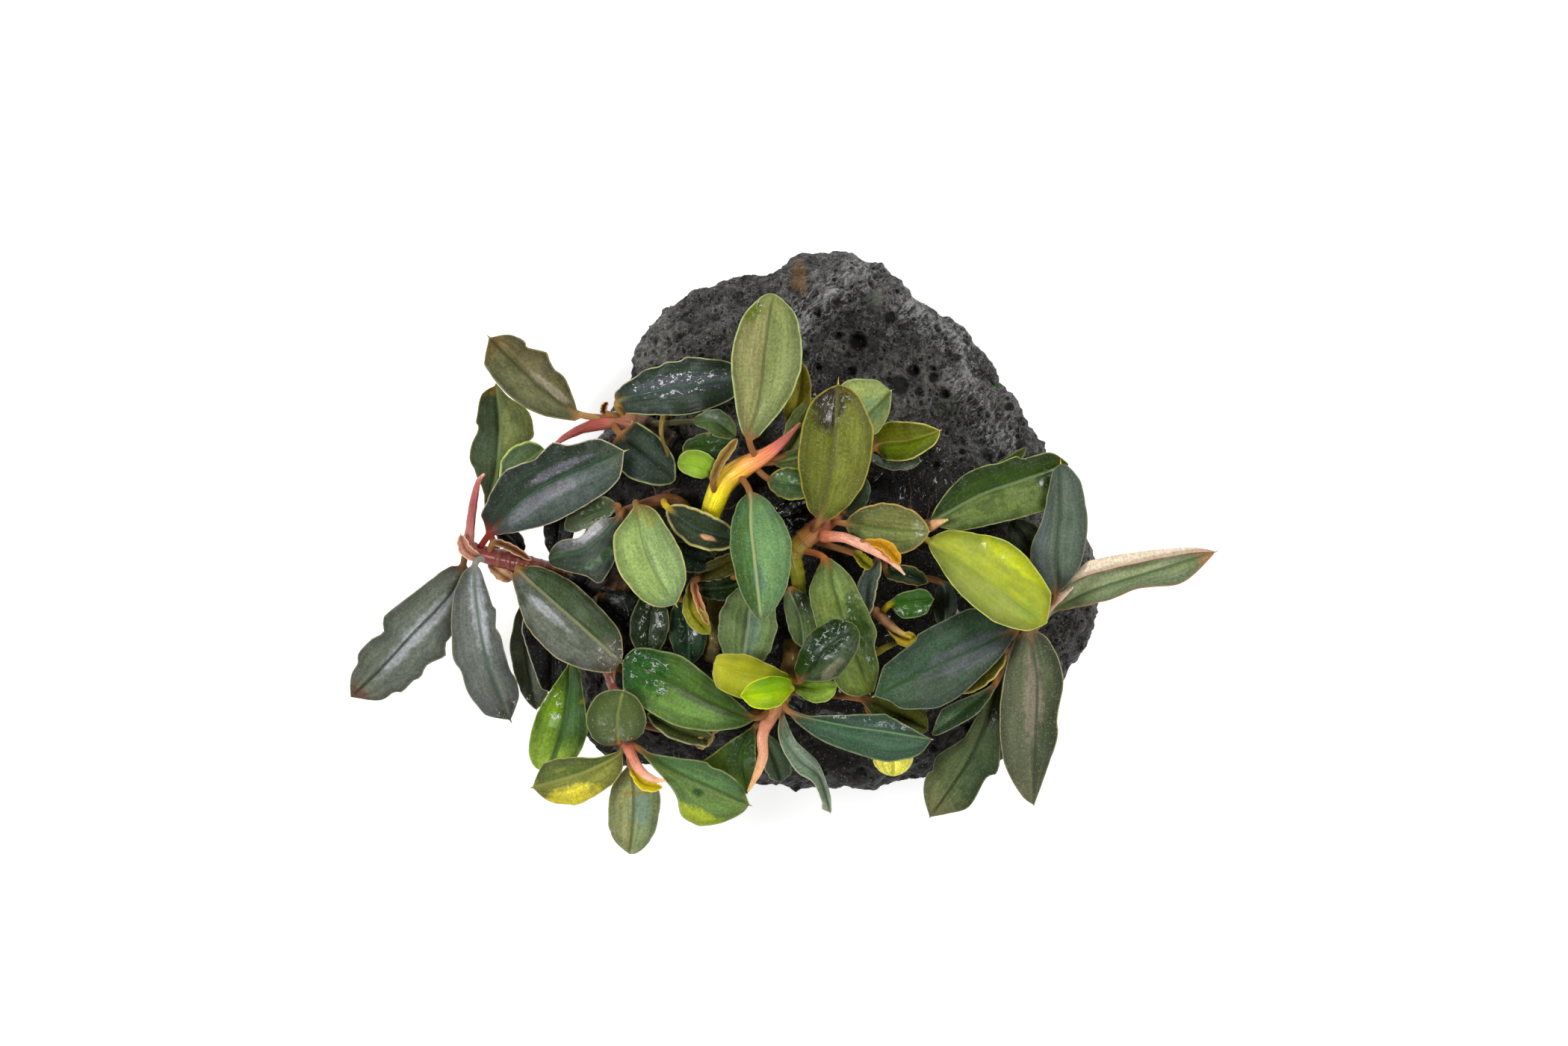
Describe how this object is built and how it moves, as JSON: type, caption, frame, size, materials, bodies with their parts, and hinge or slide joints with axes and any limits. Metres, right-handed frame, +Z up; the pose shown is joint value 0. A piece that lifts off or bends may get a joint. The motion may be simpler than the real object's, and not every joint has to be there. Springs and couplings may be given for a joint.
{
  "type": "bucephalandra on lava rock",
  "caption": "Low aquarium plant with crowded oval wavy-edged leaves on creeping rhizomes, grown over a flat-bottomed block of black lava rock.",
  "frame": {"origin": "middle of the flat underside of the rock, on the surface that it rests on", "axes": "+Z up; +Y towards the bare end of the rock; +X towards the single narrow leaf that sticks out furthest to the right"},
  "size_m": [0.1457, 0.1009, 0.0519],
  "materials": {
    "rock": "rough black vesicular lava, damp in places",
    "rhizome": "fleshy reddish brown to pink, yellow at the growing end",
    "leaf": "waxy green with a pale rim and a sunken midrib",
    "dark_leaf": "near-black green, wet and glossy",
    "young_leaf": "thin yellow-green, satin"
  },
  "bodies": {
    "root": {"lava_rock": "rock", "rhizome_left": "rhizome", "rhizome_top_left": "rhizome", "rhizome_top_centre": "rhizome", "rhizome_middle": "rhizome", "rhizome_centre": "rhizome", "shoot_centre": "rhizome", "rhizome_right": "rhizome", "rhizome_far_right": "rhizome", "rhizome_bottom_centre": "rhizome", "rhizome_bottom_left": "rhizome", "leaf_far_left": "leaf", "leaf_left_down": "leaf", "leaf_left_upright": "leaf", "leaf_left_pale": "young_leaf", "leaf_left_big": "leaf", "leaf_left_long": "leaf", "leaf_left_black_outer": "dark_leaf", "leaf_left_black_inner": "dark_leaf", "leaf_left_wet_green": "dark_leaf", "leaf_top_left_brown": "leaf", "leaf_top_left_wet": "dark_leaf", "leaf_left_grey": "leaf", "leaf_pale_oval": "leaf", "leaf_bent_grey": "leaf", "leaf_small_wet": "dark_leaf", "leaf_black_middle": "dark_leaf", "leaf_wet_dark": "dark_leaf", "leaf_tan_spot": "leaf", "leaf_top_centre": "leaf", "leaf_centre_top": "leaf", "leaf_behind_centre": "leaf", "leaf_upper_right_small": "leaf", "leaf_blue_green": "leaf", "leaf_teal": "leaf", "leaf_green_under": "leaf", "leaf_centre_olive": "leaf", "leaf_centre_wet": "dark_leaf", "leaf_centre_slate": "leaf", "leaf_right_olive": "leaf", "leaf_right_upper": "leaf", "leaf_right_upright": "leaf", "leaf_right_yellow": "leaf", "leaf_far_right": "leaf", "leaf_right_slate": "leaf", "leaf_right_hanging": "leaf", "leaf_right_diagonal": "leaf", "leaf_right_small": "leaf", "leaf_small_oval": "leaf", "leaf_bottom_wet_green": "dark_leaf", "leaf_young_yellow": "young_leaf", "leaf_young_lime": "young_leaf", "leaf_bottom_long": "leaf", "leaf_bottom_yellow": "young_leaf", "leaf_bottom_narrow": "leaf", "leaf_bottom_green": "leaf", "leaf_bottom_left_olive": "leaf", "leaf_bottom_round": "leaf", "leaf_bottom_upright": "leaf", "leaf_bottom_broad": "leaf"}
  },
  "joints": []
}
